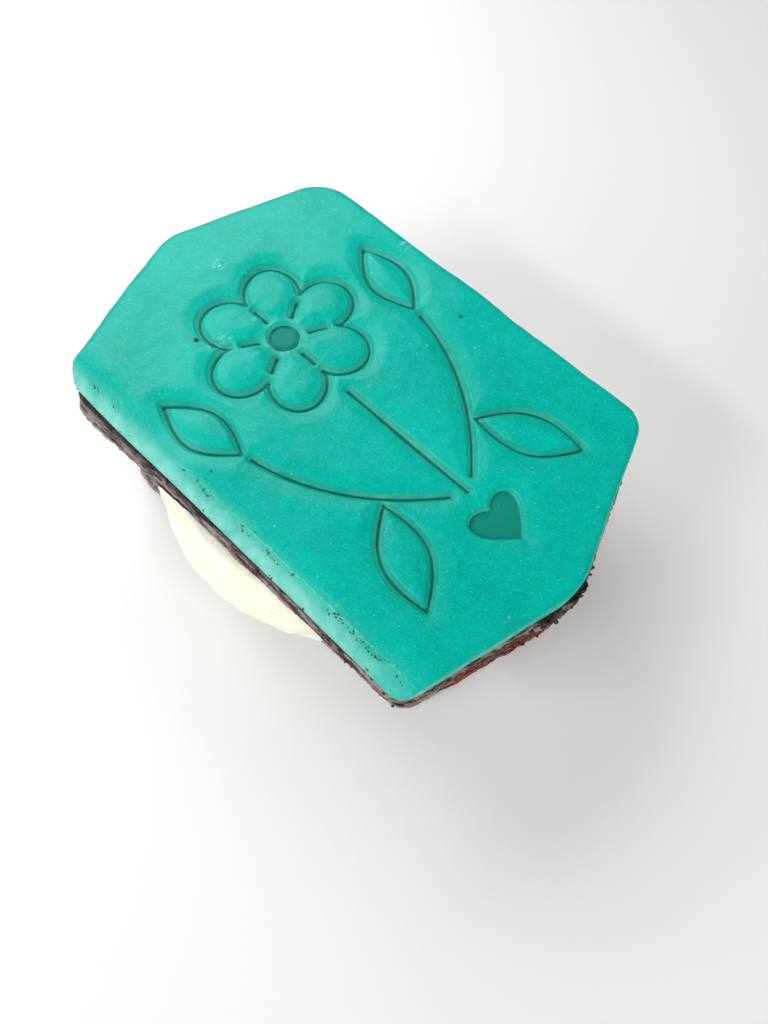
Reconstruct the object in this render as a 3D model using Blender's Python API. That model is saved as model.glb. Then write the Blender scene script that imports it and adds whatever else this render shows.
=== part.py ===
"""An ice cream sandwich: two plaque-shaped chocolate biscuits with a pressed scoop of vanilla ice cream
between them, the upper biscuit covered by a thick slab of rolled icing with a posy pressed into it.

Everything is in metres with +Z up. The sandwich lies flat on the lower biscuit's underside, its long
axis runs along X, and the origin is on the table under the middle of its bounding box.
"""

import math

import bmesh
import bpy
from mathutils import Matrix, Vector, noise

MM = 0.001

# Plan of the cutter that the icing and both biscuits were cut with: a long plaque with pointed ends.
TIP_TO_TIP = 96 * MM
STRAIGHT_SIDE = 74.6 * MM
WIDTH = 61.6 * MM
SIDE_STEP = 2.6 * MM  # spacing of the outline's points along a straight side
ARC_STEPS = 5  # chords in each rounded corner

# The stack, from the table upwards. Neighbours keep a hair's gap, so that no two solids overlap.
LOWER_BISCUIT_THICKNESS = 5.6 * MM
ICE_CREAM_THICKNESS = 16.6 * MM
UPPER_BISCUIT_THICKNESS = 5.4 * MM
ICING_THICKNESS = 4.5 * MM
GAP = 0.3 * MM

# How the pieces sit over each other: the middle of each one in plan, and the biscuits' small turns.
LOWER_BISCUIT_MIDDLE = Vector((0.8 * MM, 2.2 * MM))
LOWER_BISCUIT_TURN = math.radians(2.1)
UPPER_BISCUIT_MIDDLE = Vector((0.0, 0.1 * MM))
UPPER_BISCUIT_TURN = math.radians(0.8)
ICE_CREAM_MIDDLE = Vector((0.6 * MM, -1.2 * MM))

# Biscuit: the side flares towards its base and is broken into rough, flaky layers.
UPPER_BISCUIT_CORNER_RADII = [5.5 * MM, 9 * MM, 4 * MM, 3.5 * MM, 6 * MM, 5 * MM]
LOWER_BISCUIT_CORNER_RADII = [5.5 * MM, 9 * MM, 10 * MM, 4 * MM, 8 * MM, 5 * MM]
BISCUIT_LAYERS = [  # (share of the thickness, how far the side stands out there)
    (0.00, -0.3 * MM),
    (0.10, 0.5 * MM),
    (0.30, 0.7 * MM),
    (0.42, 0.2 * MM),
    (0.56, 0.5 * MM),
    (0.70, -0.1 * MM),
    (0.86, 0.1 * MM),
    (1.00, -0.7 * MM),
]
CRUMBLE_DEPTH = 0.45 * MM  # how far the broken side wanders in and out
CRUMBLE_PITCH = 5.0 * MM  # the length of one such wander

# Icing: its top rolls over to a steep side, and slopes down to the hem on the near side, where the
# slab was pressed out.
ICING_CORNER_RADII = [8 * MM, 8.5 * MM, 3.5 * MM, 3.3 * MM, 12 * MM, 4.8 * MM]
DRAGGED_CORNER = 3  # the near right shoulder, which was pulled out of true as the icing was laid
DRAG = Vector((2.4 * MM, -0.4 * MM))
ICING_EDGE_ROLL = 1.6 * MM  # width of the rolled-over edge, seen from above
ICING_NEAR_SLOPE = 4.6 * MM  # width of the slope on the near side, seen from above
ICING_SLOPE_START = 0.3  # the height where roll and slope start, as a share of the thickness
ICING_SLOPE_ROUNDING = 0.35  # how much the slope bends over towards its top: 0 is a straight slope
ICING_ROLL_STEPS = 6
ICING_HEM = 0.5 * MM  # how far the icing's underside tucks in

# Ice cream: a ball pressed into a thick disc, flat where the biscuits touch it.
ICE_CREAM_RADIUS = 35.8 * MM
ICE_CREAM_BULGE = 1.8  # height of the ball before pressing, over the thickness it was pressed to
ICE_CREAM_FULLNESS = 0.55  # the power that spreads the ball's rings: 1 is a ball, less is steeper
ICE_CREAM_SEGMENTS = 72
ICE_CREAM_RINGS = 32
ICE_CREAM_RAGGED_DEPTH = 0.9 * MM
ICE_CREAM_RAGGED_PITCH = 9 * MM

# The pressed posy: V-shaped grooves and flat-bottomed prints. It stands upright with its blooms
# towards -X and its stems towards +X, and is mirrored in the long axis.
GROOVE_RADIUS = 1.2 * MM  # half the diagonal of the square rod that presses a groove
GROOVE_AXIS_LIFT = 0.13 * MM  # height of that rod's axis above the icing
PRINT_DEPTH = 1.3 * MM
CUTTER_CLEARANCE = 1 * MM  # how far a cutter stands out of the icing
DAISY_MIDDLE = Vector((-17 * MM, 0))
DAISY_PETALS = 6
DAISY_NOTCH_RADIUS = 9.5 * MM  # from the middle to the notch between two petals
DAISY_PETAL_LENGTH = 5.5 * MM  # from there to a petal's tip
DAISY_STEPS_PER_PETAL = 8
DAISY_EYE_RADIUS = 2.7 * MM
CREASE_START, CREASE_END = 4.6 * MM, 7.4 * MM  # the short crease between two petals
STEM_TOP = Vector((-1.6 * MM, 0))
STEM_FOOT = Vector((25 * MM, 0))
SIDE_STEM_FOOT = Vector((23.5 * MM, 2.6 * MM))
SIDE_STEM_BEND = Vector((12 * MM, 17 * MM))
SIDE_STEM_TOP = Vector((-3.5 * MM, 20 * MM))
BUD_TIP = Vector((-21 * MM, 23.5 * MM))
BUD_HALF_WIDTH = 3.6 * MM
LEAF_FOOT = Vector((17 * MM, 11 * MM))
LEAF_TIP = Vector((33.5 * MM, 19 * MM))
LEAF_HALF_WIDTH = 3.8 * MM
HEART_MIDDLE = Vector((31.5 * MM, 0))
HEART_SIZE = 0.30 * MM  # millimetres of print for each unit of the heart's formula
STROKE_STEPS = 12  # chords along one side of a bud or leaf, or along a side stem

WELD = 1e-6


# ---------------------------------------------------------------- scene and materials


def clear_scene():
    """Removes every object of the startup scene."""
    for thing in list(bpy.data.objects):
        bpy.data.objects.remove(thing)


def new_collection(name):
    collection = bpy.data.collections.new(name)
    bpy.context.scene.collection.children.link(collection)
    return collection


def surface(name, colour, roughness):
    """A plain Principled BSDF material."""
    material = bpy.data.materials.new(name)
    material.use_nodes = True
    shader = material.node_tree.nodes["Principled BSDF"]
    shader.inputs["Base Color"].default_value = (*colour, 1.0)
    shader.inputs["Roughness"].default_value = roughness
    shader.inputs["Metallic"].default_value = 0.0
    return material


# ---------------------------------------------------------------- outlines


def plaque_corners():
    """The plaque's six corners, anticlockwise from the left end of its far side."""
    tip, shoulder, half_width = TIP_TO_TIP / 2, STRAIGHT_SIDE / 2, WIDTH / 2
    return [
        Vector((-shoulder, half_width)),
        Vector((-tip, 0)),
        Vector((-shoulder, -half_width)),
        Vector((shoulder, -half_width)),
        Vector((tip, 0)),
        Vector((shoulder, half_width)),
    ]


def rounded(corners, radii, arc_steps=ARC_STEPS, side_step=SIDE_STEP):
    """A closed outline through these corners, each rounded by an arc, with points along the sides."""
    arcs = []
    for index, corner in enumerate(corners):
        to_last = (corners[index - 1] - corner).normalized()
        to_next = (corners[(index + 1) % len(corners)] - corner).normalized()
        half_angle = to_last.angle(to_next) / 2
        radius = radii[index]
        middle = corner + (to_last + to_next).normalized() * radius / math.sin(half_angle)
        start = corner + to_last * radius / math.tan(half_angle) - middle
        turn = math.pi - 2 * half_angle
        arcs.append(
            [middle + Matrix.Rotation(turn * k / arc_steps, 2) @ start for k in range(arc_steps + 1)]
        )
    outline = []
    for index, arc in enumerate(arcs):
        outline += arc
        side = arcs[(index + 1) % len(arcs)][0] - arc[-1]
        steps = max(1, round(side.length / side_step))
        outline += [arc[-1] + side * k / steps for k in range(1, steps)]
    return outline


def outward_normals(outline):
    """The unit normal at each point of an anticlockwise outline, pointing out."""
    normals = []
    for index in range(len(outline)):
        along = outline[(index + 1) % len(outline)] - outline[index - 1]
        normals.append(Vector((along.y, -along.x)).normalized())
    return normals


def lofted(name, rings):
    """A closed solid through these rings of points, which have equal counts and run from low to high."""
    shape = bmesh.new()
    loops = []
    for ring in rings:
        points = [shape.verts.new(point) for point in ring]
        edges = [shape.edges.new((points[k - 1], points[k])) for k in range(len(points))]
        loops.append((points, edges))
    for (_, low), (_, high) in zip(loops, loops[1:]):
        bmesh.ops.bridge_loops(shape, edges=low + high)
    for points, _ in (loops[0], loops[-1]):
        bmesh.ops.contextual_create(shape, geom=points)
    bmesh.ops.recalc_face_normals(shape, faces=shape.faces)
    mesh = bpy.data.meshes.new(name)
    shape.to_mesh(mesh)
    shape.free()
    mesh.shade_smooth()
    mesh.set_sharp_from_angle(angle=math.radians(40))
    return mesh


def place(name, mesh, material, collection, parent, height, middle=Vector((0, 0)), turn=0.0):
    """An object for this mesh, at its height in the stack."""
    mesh.materials.append(material)
    thing = bpy.data.objects.new(name, mesh)
    thing.location = (middle.x, middle.y, height)
    thing.rotation_euler.z = turn
    thing.parent = parent
    collection.objects.link(thing)
    return thing


# ---------------------------------------------------------------- biscuits and ice cream


def biscuit_mesh(name, thickness, corner_radii, seed):
    """A biscuit with a flat base and top and a crumbly, layered side."""
    outline = rounded(plaque_corners(), corner_radii)
    normals = outward_normals(outline)
    shift = Vector((seed, -seed, 0))
    rings = []
    for share, stand_out in BISCUIT_LAYERS:
        height = share * thickness
        ring = []
        for point, normal in zip(outline, normals):
            place_in_noise = Vector((point.x, point.y, 2 * height)) / CRUMBLE_PITCH + shift
            rough = CRUMBLE_DEPTH * noise.fractal(place_in_noise, 1.0, 2.0, 3)
            moved = point + normal * (stand_out + rough)
            ring.append(Vector((moved.x, moved.y, height)))
        rings.append(ring)
    return lofted(name, rings)


def ice_cream_mesh(name):
    """A pressed scoop: a squat ball with a steep, ragged side, cut flat where the biscuits press on it."""
    half = ICE_CREAM_THICKNESS / 2
    shape = bmesh.new()
    bmesh.ops.create_uvsphere(
        shape, u_segments=ICE_CREAM_SEGMENTS, v_segments=ICE_CREAM_RINGS, radius=1.0
    )
    for vertex in shape.verts:
        unit = vertex.co.copy()
        around = Vector((unit.x, unit.y))
        spread = around.length**ICE_CREAM_FULLNESS
        plan = around.normalized() * ICE_CREAM_RADIUS * spread if around.length else around
        vertex.co = Vector((plan.x, plan.y, unit.z * half * ICE_CREAM_BULGE))
        rough = ICE_CREAM_RAGGED_DEPTH * noise.fractal(
            vertex.co / ICE_CREAM_RAGGED_PITCH, 1.0, 2.0, 3
        )
        vertex.co += Vector((unit.x, unit.y, 0)) * rough
    for side in (-1, 1):
        everything = shape.verts[:] + shape.edges[:] + shape.faces[:]
        cut = bmesh.ops.bisect_plane(
            shape, geom=everything, plane_co=(0, 0, side * half), plane_no=(0, 0, side), clear_outer=True
        )
        rim = [edge for edge in cut["geom_cut"] if isinstance(edge, bmesh.types.BMEdge)]
        bmesh.ops.contextual_create(shape, geom=rim)
    bmesh.ops.translate(shape, verts=shape.verts, vec=(0, 0, half))
    bmesh.ops.recalc_face_normals(shape, faces=shape.faces)
    mesh = bpy.data.meshes.new(name)
    shape.to_mesh(mesh)
    shape.free()
    mesh.shade_smooth()
    mesh.set_sharp_from_angle(angle=math.radians(40))
    return mesh


# ---------------------------------------------------------------- icing and its pressed posy


def icing_profile():
    """The icing's edge from the hem up: (height, how far it stands out, how far the near slope has come)."""
    profile = [(0.0, -ICING_HEM, DRAG.y), (0.16 * ICING_THICKNESS, -0.1 * MM, DRAG.y)]
    base = ICING_SLOPE_START * ICING_THICKNESS
    for step in range(ICING_ROLL_STEPS + 1):
        angle = math.pi / 2 * step / ICING_ROLL_STEPS
        rolled = 1 - math.cos(angle)
        straight = math.sin(angle)
        sloped = straight + ICING_SLOPE_ROUNDING * (rolled - straight)
        height = base + (ICING_THICKNESS - base) * straight
        profile.append((height, -ICING_EDGE_ROLL * rolled, ICING_NEAR_SLOPE * sloped))
    return profile


def icing_mesh(name):
    """The icing slab: tucked in at its hem and rolled over at its edge, with a slope on the near side."""
    corners = plaque_corners()
    corners[DRAGGED_CORNER] += DRAG
    outline = rounded(corners, ICING_CORNER_RADII)
    normals = outward_normals(outline)
    rings = []
    for height, stand_out, slope in icing_profile():
        nearest = slope - WIDTH / 2
        moved = [point + normal * stand_out for point, normal in zip(outline, normals)]
        rings.append([Vector((point.x, max(point.y, nearest), height)) for point in moved])
    return lofted(name, rings)


def curved_stroke(start, bend, end, steps=STROKE_STEPS):
    """Points of a quadratic curve from start to end, pulled towards the bend point."""
    shares = [k / steps for k in range(steps + 1)]
    return [start * (1 - t) ** 2 + bend * 2 * t * (1 - t) + end * t**2 for t in shares]


def pointed_oval(foot, tip, half_width, steps=STROKE_STEPS):
    """The closed outline of a leaf or bud: two even curves that meet in a point at each end."""
    along = tip - foot
    across = Vector((-along.y, along.x)).normalized() * half_width
    out = [foot + along * k / steps + across * math.sin(math.pi * k / steps) for k in range(steps)]
    back = [tip - along * k / steps - across * math.sin(math.pi * k / steps) for k in range(steps)]
    return out + back


def daisy_outline():
    """The scalloped outline of the petals, with a sharp notch between each two."""
    points = []
    for step in range(DAISY_PETALS * DAISY_STEPS_PER_PETAL):
        turn = 2 * math.pi * step / (DAISY_PETALS * DAISY_STEPS_PER_PETAL)
        lobe = abs(math.sin(DAISY_PETALS * turn / 2)) ** 0.75
        reach = DAISY_NOTCH_RADIUS + DAISY_PETAL_LENGTH * lobe
        points.append(DAISY_MIDDLE + reach * Vector((math.cos(turn), math.sin(turn))))
    return points


def daisy_creases():
    """The short straight creases between the petals, each one as its two ends."""
    creases = []
    for petal in range(DAISY_PETALS):
        turn = 2 * math.pi * petal / DAISY_PETALS
        direction = Vector((math.cos(turn), math.sin(turn)))
        creases.append([DAISY_MIDDLE + direction * CREASE_START, DAISY_MIDDLE + direction * CREASE_END])
    return creases


def heart_outline(steps=28):
    """A heart whose point is towards +X."""
    points = []
    for step in range(steps):
        turn = 2 * math.pi * step / steps
        across = 16 * math.sin(turn) ** 3
        along = 13 * math.cos(turn) - 5 * math.cos(2 * turn) - 2 * math.cos(3 * turn)
        points.append(HEART_MIDDLE + HEART_SIZE * Vector((-along, across)))
    return points


def circle_outline(middle, radius, steps=20):
    turns = [2 * math.pi * k / steps for k in range(steps)]
    return [middle + radius * Vector((math.cos(turn), math.sin(turn))) for turn in turns]


def curve_object(name, points, closed, dimensions, collection):
    """A poly curve through these plan points."""
    curve = bpy.data.curves.new(name, "CURVE")
    curve.dimensions = dimensions
    spline = curve.splines.new("POLY")
    spline.points.add(len(points) - 1)
    for slot, point in zip(spline.points, points):
        slot.co = (point.x, point.y, 0, 1)
    spline.use_cyclic_u = closed
    thing = bpy.data.objects.new(name, curve)
    collection.objects.link(thing)
    return thing


def as_mesh_object(thing, collection):
    """Turns a curve object into a mesh object in the same place, with its caps welded on."""
    bpy.context.view_layer.update()
    graph = bpy.context.evaluated_depsgraph_get()
    mesh = bpy.data.meshes.new_from_object(thing.evaluated_get(graph))
    name = thing.name
    shape = bmesh.new()
    shape.from_mesh(mesh)
    bmesh.ops.remove_doubles(shape, verts=shape.verts, dist=WELD)
    bmesh.ops.recalc_face_normals(shape, faces=shape.faces)
    shape.to_mesh(mesh)
    shape.free()
    made = bpy.data.objects.new(name + "_cutter", mesh)
    made.matrix_world = thing.matrix_world
    bpy.data.objects.remove(thing)
    collection.objects.link(made)
    made.hide_render = True
    made.display_type = "WIRE"
    return made


def groove_cutter(name, points, closed, top, collection):
    """A square rod on edge along the stroke, which presses a V-shaped groove into the icing."""
    rod = curve_object(name, points, closed, "3D", collection)
    rod.data.bevel_depth = GROOVE_RADIUS
    rod.data.bevel_resolution = 0
    rod.data.use_fill_caps = True
    rod.location.z = top + GROOVE_AXIS_LIFT
    return as_mesh_object(rod, collection)


def print_cutter(name, points, top, collection):
    """A flat block with this outline, which presses a flat-bottomed print into the icing."""
    block = curve_object(name, points, True, "2D", collection)
    block.data.fill_mode = "BOTH"
    block.data.extrude = (PRINT_DEPTH + CUTTER_CLEARANCE) / 2
    block.location.z = top - PRINT_DEPTH + block.data.extrude
    return as_mesh_object(block, collection)


def mirrored(points):
    return [Vector((point.x, -point.y)) for point in reversed(points)]


def posy_cutters(top, collection):
    """Every cutter of the pressed posy, for an icing whose flat top is at this height."""
    strokes = [("stem", [STEM_TOP, STEM_FOOT], False), ("daisy", daisy_outline(), True)]
    strokes += [(f"crease_{k}", ends, False) for k, ends in enumerate(daisy_creases())]
    side_stem = curved_stroke(SIDE_STEM_FOOT, SIDE_STEM_BEND, SIDE_STEM_TOP)
    bud = pointed_oval(SIDE_STEM_TOP + (SIDE_STEM_TOP - SIDE_STEM_BEND) * 0.12, BUD_TIP, BUD_HALF_WIDTH)
    leaf = pointed_oval(LEAF_FOOT, LEAF_TIP, LEAF_HALF_WIDTH)
    for name, points, closed in (("side_stem", side_stem, False), ("bud", bud, True), ("leaf", leaf, True)):
        strokes.append((name + "_far", points, closed))
        strokes.append((name + "_near", mirrored(points), closed))
    cutters = [groove_cutter(name, points, closed, top, collection) for name, points, closed in strokes]
    cutters.append(print_cutter("heart", heart_outline(), top, collection))
    eye = circle_outline(DAISY_MIDDLE, DAISY_EYE_RADIUS)
    cutters.append(print_cutter("daisy_eye", eye, top, collection))
    return cutters


def press(icing, cutters):
    """Cuts every cutter from the icing, one Boolean modifier each."""
    for cutter in cutters:
        cut = icing.modifiers.new(cutter.name, "BOOLEAN")
        cut.operation = "DIFFERENCE"
        cut.object = cutter


# ---------------------------------------------------------------- the sandwich


def centre_on_origin(things, stack):
    """Moves the whole stack so that the middle of its bounding box is over the origin."""
    bpy.context.view_layer.update()
    corners = [thing.matrix_world @ Vector(corner) for thing in things for corner in thing.bound_box]
    for axis in (0, 1):
        values = [corner[axis] for corner in corners]
        stack.location[axis] -= (min(values) + max(values)) / 2


def main():
    clear_scene()
    parts = new_collection("Ice cream sandwich")
    tools = new_collection("Cutters")
    biscuit = surface("chocolate biscuit", (0.055, 0.030, 0.022), 0.75)
    cream = surface("vanilla ice cream", (0.86, 0.79, 0.64), 0.55)
    teal = surface("teal icing", (0.015, 0.42, 0.32), 0.45)

    stack = bpy.data.objects.new("stack", None)
    parts.objects.link(stack)

    height = 0.0
    lower_mesh = biscuit_mesh(
        "lower_biscuit", LOWER_BISCUIT_THICKNESS, LOWER_BISCUIT_CORNER_RADII, seed=3.1
    )
    lower = place(
        "lower_biscuit", lower_mesh, biscuit, parts, stack, height, LOWER_BISCUIT_MIDDLE, LOWER_BISCUIT_TURN
    )
    height += LOWER_BISCUIT_THICKNESS + GAP
    scoop = place("ice_cream", ice_cream_mesh("ice_cream"), cream, parts, stack, height, ICE_CREAM_MIDDLE)
    height += ICE_CREAM_THICKNESS + GAP
    upper_mesh = biscuit_mesh(
        "upper_biscuit", UPPER_BISCUIT_THICKNESS, UPPER_BISCUIT_CORNER_RADII, seed=7.7
    )
    upper = place(
        "upper_biscuit", upper_mesh, biscuit, parts, stack, height, UPPER_BISCUIT_MIDDLE, UPPER_BISCUIT_TURN
    )
    height += UPPER_BISCUIT_THICKNESS + GAP
    icing = place("icing", icing_mesh("icing"), teal, parts, stack, height)

    cutters = posy_cutters(height + ICING_THICKNESS, tools)
    for cutter in cutters:
        cutter.parent = stack
    press(icing, cutters)
    centre_on_origin([lower, scoop, upper, icing], stack)


main()
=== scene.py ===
# %% [markdown]
# # An ice cream sandwich, layer by layer
# Four layers lie on each other: a chocolate biscuit, a pressed scoop of vanilla ice cream, a second
# biscuit, and a slab of teal rolled icing with a posy pressed into it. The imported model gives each
# layer's place, and every new piece takes the place of the plain layer that it stands for.

# %% Load the frame
import math
import random

import bmesh
import bpy
from mathutils import Euler, Matrix, Vector
from mathutils.kdtree import KDTree


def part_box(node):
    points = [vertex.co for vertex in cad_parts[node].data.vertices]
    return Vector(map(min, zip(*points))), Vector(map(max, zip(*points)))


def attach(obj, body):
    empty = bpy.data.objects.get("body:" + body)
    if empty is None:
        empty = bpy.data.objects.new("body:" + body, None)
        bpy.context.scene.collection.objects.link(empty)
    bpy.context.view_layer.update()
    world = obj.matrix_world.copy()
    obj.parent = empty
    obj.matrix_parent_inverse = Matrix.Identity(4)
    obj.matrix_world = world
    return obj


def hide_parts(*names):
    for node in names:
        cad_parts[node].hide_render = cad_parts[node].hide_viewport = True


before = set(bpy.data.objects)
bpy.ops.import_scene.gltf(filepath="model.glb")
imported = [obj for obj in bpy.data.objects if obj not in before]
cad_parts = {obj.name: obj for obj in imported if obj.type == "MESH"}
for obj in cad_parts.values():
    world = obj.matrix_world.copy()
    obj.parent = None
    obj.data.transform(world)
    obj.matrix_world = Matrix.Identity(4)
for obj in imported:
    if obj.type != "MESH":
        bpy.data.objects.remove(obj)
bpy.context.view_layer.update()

MM = 0.001
print("layers in the frame:", ", ".join(sorted(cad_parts)))

# %% [markdown]
# ## Where the layers lie
# Icing and biscuits were cut with one cutter, a long hexagon with rounded corners. The layers' boxes give
# the heights of the stack. The icing's box also gives the middle of the whole plan: half the width in
# from its far side, and half the length in from its left tip, which stood out further before it was
# rounded. Places on the icing are measured from there.

# %% Read the layers' boxes
TIP_TO_TIP = 96 * MM
STRAIGHT_SIDE = 74.6 * MM
WIDTH = 61.6 * MM
END_SLOPE = math.atan2(TIP_TO_TIP - STRAIGHT_SIDE, WIDTH)
ICING_RADII = [radius * MM for radius in (8, 8.5, 3.5, 3.3, 12, 4.8)]

icing_low, icing_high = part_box("icing")
tip_lost = ICING_RADII[1] * (1 / math.cos(END_SLOPE) - 1)
plaque_middle = Vector((icing_low.x - tip_lost + TIP_TO_TIP / 2, icing_high.y - WIDTH / 2))
icing_top = icing_high.z


def on_icing(x, y, above=0.0):
    """A point over the icing's flat top, from its place in plan."""
    return Vector((plaque_middle.x + x, plaque_middle.y + y, icing_top + above))


print(f"icing: {(icing_high.z - icing_low.z) / MM:.1f} mm thick, top at {icing_top / MM:.1f} mm")

# %% [markdown]
# ## Picking by place
# In a script nobody clicks, so the corners, edges and faces for an edit are picked by a test on their
# place or direction. These helpers open a piece for editing, pick, and apply a piece's modifiers.


# %% Editing helpers
def choose(piece):
    """Makes this the one selected and active object."""
    bpy.ops.object.select_all(action="DESELECT")
    piece.select_set(True)
    bpy.context.view_layer.objects.active = piece


def edit(piece):
    choose(piece)
    bpy.ops.object.mode_set(mode="EDIT")


def done():
    bpy.ops.object.mode_set(mode="OBJECT")


def pick(kind, wanted):
    """In edit mode, selects only the corners, edges or faces that the test wants."""
    bpy.ops.mesh.select_mode(type=kind)
    bpy.ops.mesh.select_all(action="DESELECT")
    shape = bmesh.from_edit_mesh(bpy.context.object.data)
    items = {"VERT": shape.verts, "EDGE": shape.edges, "FACE": shape.faces}[kind]
    chosen = [item for item in items if wanted(item)]
    for item in chosen:
        item.select_set(True)
    shape.select_flush_mode()
    bmesh.update_edit_mesh(bpy.context.object.data)
    return len(chosen)


def middle_of(edge):
    return (edge.verts[0].co + edge.verts[1].co) / 2


def bake_modifiers(piece):
    """Applies every modifier, from the top of the list down."""
    choose(piece)
    for modifier in list(piece.modifiers):
        bpy.ops.object.modifier_apply(modifier=modifier.name)


def told(piece):
    """Prints a finished piece's size and triangles."""
    count = sum(len(face.vertices) - 2 for face in piece.data.polygons)
    size = ", ".join(f"{side / MM:.1f}" for side in piece.dimensions)
    print(f"{piece.name}: {size} mm, {count} triangles")


# %% [markdown]
# ## The cutter's shape
# A circle of six corners is a long hexagon once its four shoulders are pulled into place. Extruded it is
# a prism, and a bevel on each upright edge rounds that corner by its own radius. One function serves all
# three layers. The icing was pulled out of true at its near right shoulder as it was laid on, so that
# corner may be dragged before it is rounded.

# %% The plaque
SHOULDER, TIP, HALF_WIDTH = STRAIGHT_SIDE / 2, TIP_TO_TIP / 2, WIDTH / 2
HEXAGON = [(-SHOULDER, HALF_WIDTH), (-TIP, 0), (-SHOULDER, -HALF_WIDTH)]
HEXAGON += [(-x, -y) for x, y in HEXAGON]
NEAR_RIGHT = 3
CORNER_STEPS = 8


def plaque(name, thickness, radii, drag=(0, 0)):
    """A prism in the cutter's shape, flat on z = 0. The radii run round from the far left shoulder."""
    bpy.ops.object.select_all(action="DESELECT")
    bpy.ops.mesh.primitive_circle_add(
        vertices=6, radius=TIP, fill_type="NGON", rotation=(0, 0, math.pi / 2)
    )
    piece = bpy.context.object
    piece.name = name
    bpy.ops.object.transform_apply()
    edit(piece)
    pick("VERT", lambda corner: abs(corner.co.y) > HALF_WIDTH / 4)
    pull = (2 * SHOULDER / TIP, HALF_WIDTH / (TIP * math.sin(math.pi / 3)), 1)
    bpy.ops.transform.resize(value=pull, center_override=(0, 0, 0))
    pick("VERT", lambda corner: (corner.co.to_2d() - Vector(HEXAGON[NEAR_RIGHT])).length < MM)
    bpy.ops.transform.translate(value=(*drag, 0))
    bpy.ops.mesh.select_all(action="SELECT")
    bpy.ops.mesh.extrude_region_move(TRANSFORM_OT_translate={"value": (0, 0, thickness)})
    bpy.ops.mesh.select_all(action="SELECT")
    bpy.ops.mesh.normals_make_consistent(inside=False)
    round_corners([Vector(corner) for corner in HEXAGON], Vector(drag), thickness, radii)
    done()
    return piece


def round_corners(corners, drag, thickness, radii):
    """Bevels the six upright edges of the prism that is being edited."""
    corners[NEAR_RIGHT] += drag
    for index, (corner, radius) in enumerate(zip(corners, radii)):
        half_angle = (corners[index - 1] - corner).angle(corners[(index + 1) % 6] - corner) / 2
        place = corner.to_3d() + Vector((0, 0, thickness / 2))
        pick("EDGE", lambda edge: (middle_of(edge) - place).length < MM)
        bpy.ops.mesh.bevel(offset=radius / math.tan(half_angle), segments=CORNER_STEPS, affect="EDGES")


def settle(piece, base, middle, turn=0.0, grow=0.0):
    """Puts a plaque at its place in the stack, grown a little all round."""
    piece.scale = (1 + 2 * grow / TIP_TO_TIP, 1 + 2 * grow / WIDTH, 1)
    piece.location = (middle.x, middle.y, base)
    piece.rotation_euler.z = turn
    choose(piece)
    bpy.ops.object.transform_apply()


print(f"the ends slope by {math.degrees(END_SLOPE):.1f} degrees")

# %% [markdown]
# ## Soft dough-like edges and a fine skin
# Rolled icing has no sharp edges: the cutter drags its rim down into a soft roll, and on the near side
# the slab was pressed out into a slope with a shoulder. Two bisects cut that slope, and bevels round the
# top rim and the hem. Remeshing then turns the few big faces into an even skin of small ones, which is
# what pressing and dents need.


# %% Rim and skin helpers
def soften_rim(piece, height, width, steps):
    """Rounds the edge that runs round the piece at this height."""
    edit(piece)
    pick("EDGE", lambda edge: all(abs(corner.co.z - height) < MM / 100 for corner in edge.verts))
    bpy.ops.mesh.bevel(offset=width, segments=steps, affect="EDGES")
    done()


def even_skin(piece, face_size):
    """Rebuilds the surface from square faces of about this size."""
    choose(piece)
    piece.data.remesh_voxel_size = face_size
    bpy.ops.object.voxel_remesh()
    bpy.ops.object.shade_smooth()


def finer(piece, wanted):
    """Splits each face that the test wants in four."""
    edit(piece)
    pick("FACE", wanted)
    bpy.ops.mesh.subdivide(number_cuts=1)
    done()


ICING_DRAG = Vector((2.4, -0.4)) * MM
icing_thickness = icing_high.z - icing_low.z
# The near slope, as (distance in from the hem, height) of its foot, its shoulder and its top.
NEAR_SLOPE = [(0, 1.2 * MM), (2.4 * MM, icing_thickness - 0.9 * MM), (4.8 * MM, icing_thickness)]

icing = plaque("pressed_icing", icing_thickness, ICING_RADII, ICING_DRAG)
edit(icing)
for (start, low), (end, high) in zip(NEAR_SLOPE, NEAR_SLOPE[1:]):
    bpy.ops.mesh.select_all(action="SELECT")
    bpy.ops.mesh.bisect(
        plane_co=(0, start - HALF_WIDTH, low),
        plane_no=Vector((0, low - high, end - start)).normalized(),
        use_fill=True,
        clear_outer=True,
    )
done()
soften_rim(icing, icing_thickness, 1.4 * MM, 5)
soften_rim(icing, 0, 0.5 * MM, 2)
settle(icing, icing_low.z, plaque_middle)
even_skin(icing, 0.4 * MM)
told(icing)

# %% [markdown]
# ## The posy's lines
# The design is pressed in with a stamp: a daisy on a straight stem, two side stems with buds, two leaves
# and a small heart. Each line is worked out from a few sizes, in plan, with the blooms towards -X. What
# is off the long axis is mirrored in it.

# %% Sizes of the posy
DAISY = Vector((-17, 0)) * MM
PETALS = 6
NOTCH_RADIUS, PETAL_LENGTH = 9.5 * MM, 5.5 * MM
EYE_RADIUS = 2.7 * MM
CREASE = (4.6 * MM, 7.4 * MM)
STEM = (Vector((-1.6, 0)) * MM, Vector((25, 0)) * MM)
SIDE_STEM = [Vector(place) * MM for place in ((23.5, 2.6), (12, 17), (-3.5, 20))]
BUD = (Vector((-5.3, 20.4)) * MM, Vector((-21, 23.5)) * MM, 3.6 * MM)
LEAF = (Vector((17, 11)) * MM, Vector((33.5, 19)) * MM, 3.8 * MM)
HEART = Vector((31.5, 0)) * MM
HEART_SIZE = 0.30 * MM


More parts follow.
